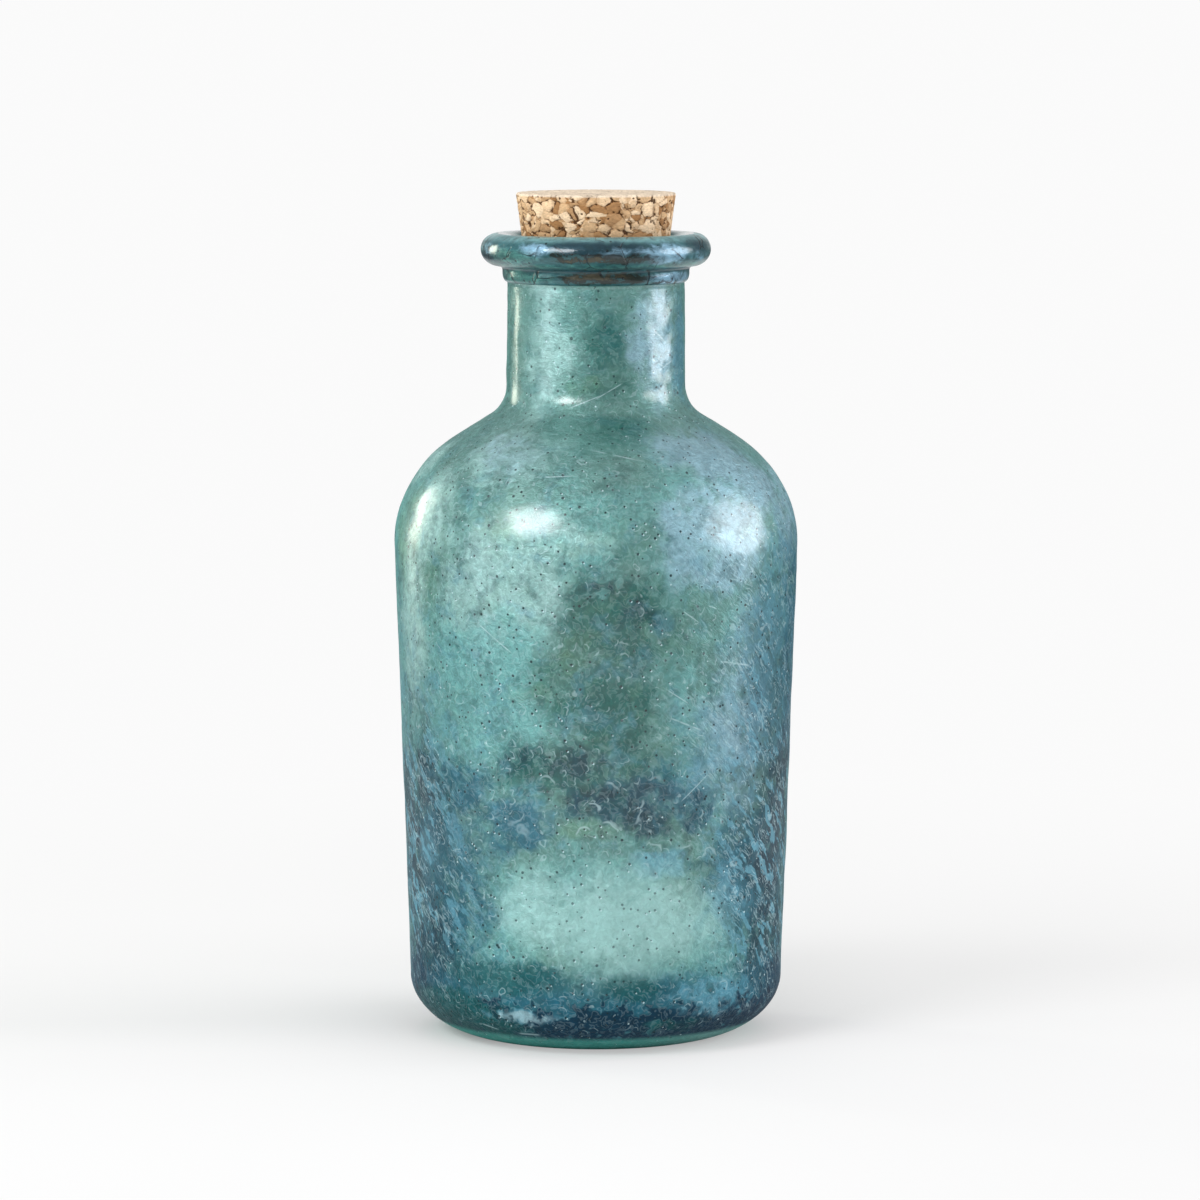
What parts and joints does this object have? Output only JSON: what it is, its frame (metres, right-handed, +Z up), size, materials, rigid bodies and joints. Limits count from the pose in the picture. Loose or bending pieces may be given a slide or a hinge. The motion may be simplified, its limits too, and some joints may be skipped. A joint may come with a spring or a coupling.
{
  "type": "apothecary bottle",
  "caption": "Thick turned glass bottle with round shoulders, a straight neck and a rolled lip, closed by a tapered cork that pulls out of its mouth.",
  "frame": {"origin": "centre of the foot, on the surface that the bottle stands on", "axes": "+Z up along the bottle's axis; the shape is round, so X and Y are free"},
  "size_m": [0.09, 0.09, 0.1882],
  "materials": {
    "glass": "translucent sea green with a pearly, weathered and finely dimpled skin",
    "cork": "matte agglomerated cork, pale granules with dark pores"
  },
  "bodies": {
    "bottle": {"glass_bottle": "glass"},
    "stopper": {"cork_stopper": "cork"}
  },
  "joints": [
    {"name": "stopper_pull", "type": "slide", "parent": "bottle", "child": "stopper", "axis": [0, 0, 1], "range_m": [0, 0.04]}
  ]
}
